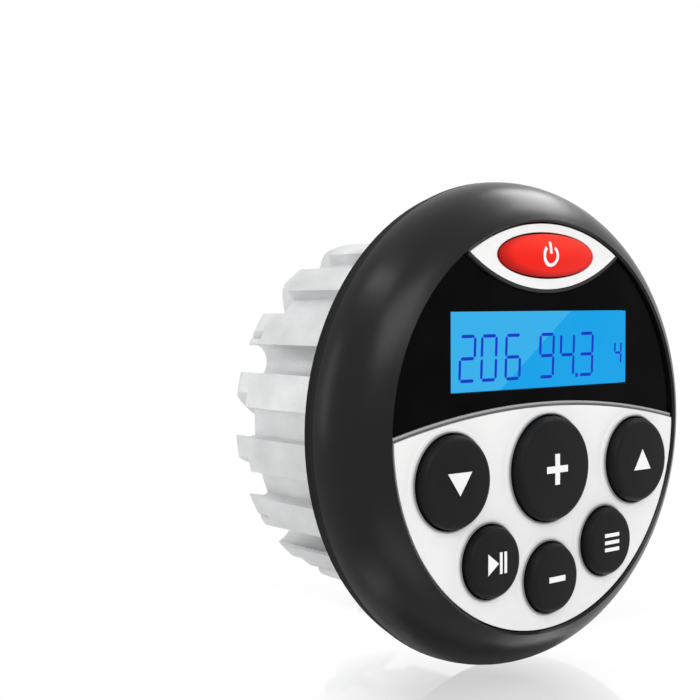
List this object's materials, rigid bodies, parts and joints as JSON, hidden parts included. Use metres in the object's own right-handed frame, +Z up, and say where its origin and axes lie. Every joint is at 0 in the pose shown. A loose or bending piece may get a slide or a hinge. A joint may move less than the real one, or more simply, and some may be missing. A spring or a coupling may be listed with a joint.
{
  "type": "marine stereo",
  "caption": "Round gauge-hole marine receiver: bezel, lit display, sprung keys, spiral-finned cast heatsink, rear clamp studs and a strapped cable tail.",
  "frame": {"origin": "centre of the panel hole, in the plane where the gasket rests on the panel", "axes": "+X to the right seen from the front, +Y rearwards through the panel, +Z up"},
  "size_m": [0.1605, 0.1369, 0.11],
  "materials": {
    "black_satin": "satin",
    "gasket_rubber": "matte",
    "dark_plastic": "matte",
    "white_face": "satin",
    "window_black": "gloss",
    "grey_trim": "satin",
    "charcoal_trim": "satin",
    "lcd_blue": "lit display",
    "diffuser": "diffusing",
    "key_rubber": "matte",
    "power_red": "gloss",
    "plunger_plastic": "matte",
    "board_green": "satin",
    "board_blue": "satin",
    "connector": "matte",
    "chip_black": "matte",
    "pad_grey": "matte",
    "cap_sleeve": "gloss",
    "cast_aluminium": "cast, satin",
    "zinc_steel": "zinc plated",
    "strap_steel": "satin",
    "sleeve_black": "shrunk tube, glossy at the bend",
    "wire_black": "smooth insulation",
    "wire_green": "smooth insulation",
    "wire_red": "smooth insulation",
    "wire_grey": "smooth insulation",
    "wire_white": "smooth insulation",
    "wire_violet": "smooth insulation",
    "wire_brown": "smooth insulation",
    "wire_teal": "smooth insulation"
  },
  "bodies": {
    "receiver": {"bezel_ring": "black_satin", "panel_gasket": "gasket_rubber", "front_housing": "dark_plastic", "keypad_fascia": "white_face", "display_window": "window_black", "window_trim": "grey_trim", "power_surround": "white_face", "power_trim": "charcoal_trim", "lcd_glass": "lcd_blue", "lcd_backlight": "diffuser", "lcd_frame": "dark_plastic", "front_board": "board_green", "front_board_screws": "zinc_steel", "tact_switches": "dark_plastic", "neck_collar": "dark_plastic", "case_seal": "gasket_rubber", "heatsink_body": "cast_aluminium", "case_screws": "zinc_steel", "main_board": "board_blue", "board_screws": "zinc_steel", "board_header": "chip_black", "board_socket": "connector", "harness_plug": "connector", "amp_chip": "chip_black", "thermal_pad": "pad_grey", "amp_clip": "strap_steel", "clip_screws": "zinc_steel", "tuner_can": "strap_steel", "capacitors": "cap_sleeve", "cable_grommet": "gasket_rubber", "cable_sleeve": "sleeve_black", "cable_strap": "strap_steel", "mounting_studs": "zinc_steel", "flat_washers": "zinc_steel", "spring_washers": "zinc_steel", "strap_nuts": "zinc_steel", "bracket_nuts": "zinc_steel", "wire_black": "wire_black", "wire_green": "wire_green", "wire_red": "wire_red", "wire_grey": "wire_grey", "wire_white": "wire_white", "wire_violet": "wire_violet", "wire_brown": "wire_brown", "wire_teal": "wire_teal"},
    "power_button": {"power_key": "power_red", "power_plunger": "plunger_plastic"},
    "volume_up_button": {"volume_up_key": "key_rubber", "volume_up_plunger": "plunger_plastic"},
    "volume_down_button": {"volume_down_key": "key_rubber", "volume_down_plunger": "plunger_plastic"},
    "seek_down_button": {"seek_down_key": "key_rubber", "seek_down_plunger": "plunger_plastic"},
    "seek_up_button": {"seek_up_key": "key_rubber", "seek_up_plunger": "plunger_plastic"},
    "band_button": {"band_key": "key_rubber", "band_plunger": "plunger_plastic"},
    "mode_button": {"mode_key": "key_rubber", "mode_plunger": "plunger_plastic"}
  },
  "joints": [
    {"name": "power_press", "type": "slide", "parent": "receiver", "child": "power_button", "axis": [0, 1, 0], "range_m": [0, 0.001], "stiffness_N_per_m": 1500},
    {"name": "volume_up_press", "type": "slide", "parent": "receiver", "child": "volume_up_button", "axis": [0, 1, 0], "range_m": [0, 0.001], "stiffness_N_per_m": 1500},
    {"name": "volume_down_press", "type": "slide", "parent": "receiver", "child": "volume_down_button", "axis": [0, 1, 0], "range_m": [0, 0.001], "stiffness_N_per_m": 1500},
    {"name": "seek_down_press", "type": "slide", "parent": "receiver", "child": "seek_down_button", "axis": [0, 1, 0], "range_m": [0, 0.001], "stiffness_N_per_m": 1500},
    {"name": "seek_up_press", "type": "slide", "parent": "receiver", "child": "seek_up_button", "axis": [0, 1, 0], "range_m": [0, 0.001], "stiffness_N_per_m": 1500},
    {"name": "band_press", "type": "slide", "parent": "receiver", "child": "band_button", "axis": [0, 1, 0], "range_m": [0, 0.001], "stiffness_N_per_m": 1500},
    {"name": "mode_press", "type": "slide", "parent": "receiver", "child": "mode_button", "axis": [0, 1, 0], "range_m": [0, 0.001], "stiffness_N_per_m": 1500}
  ]
}
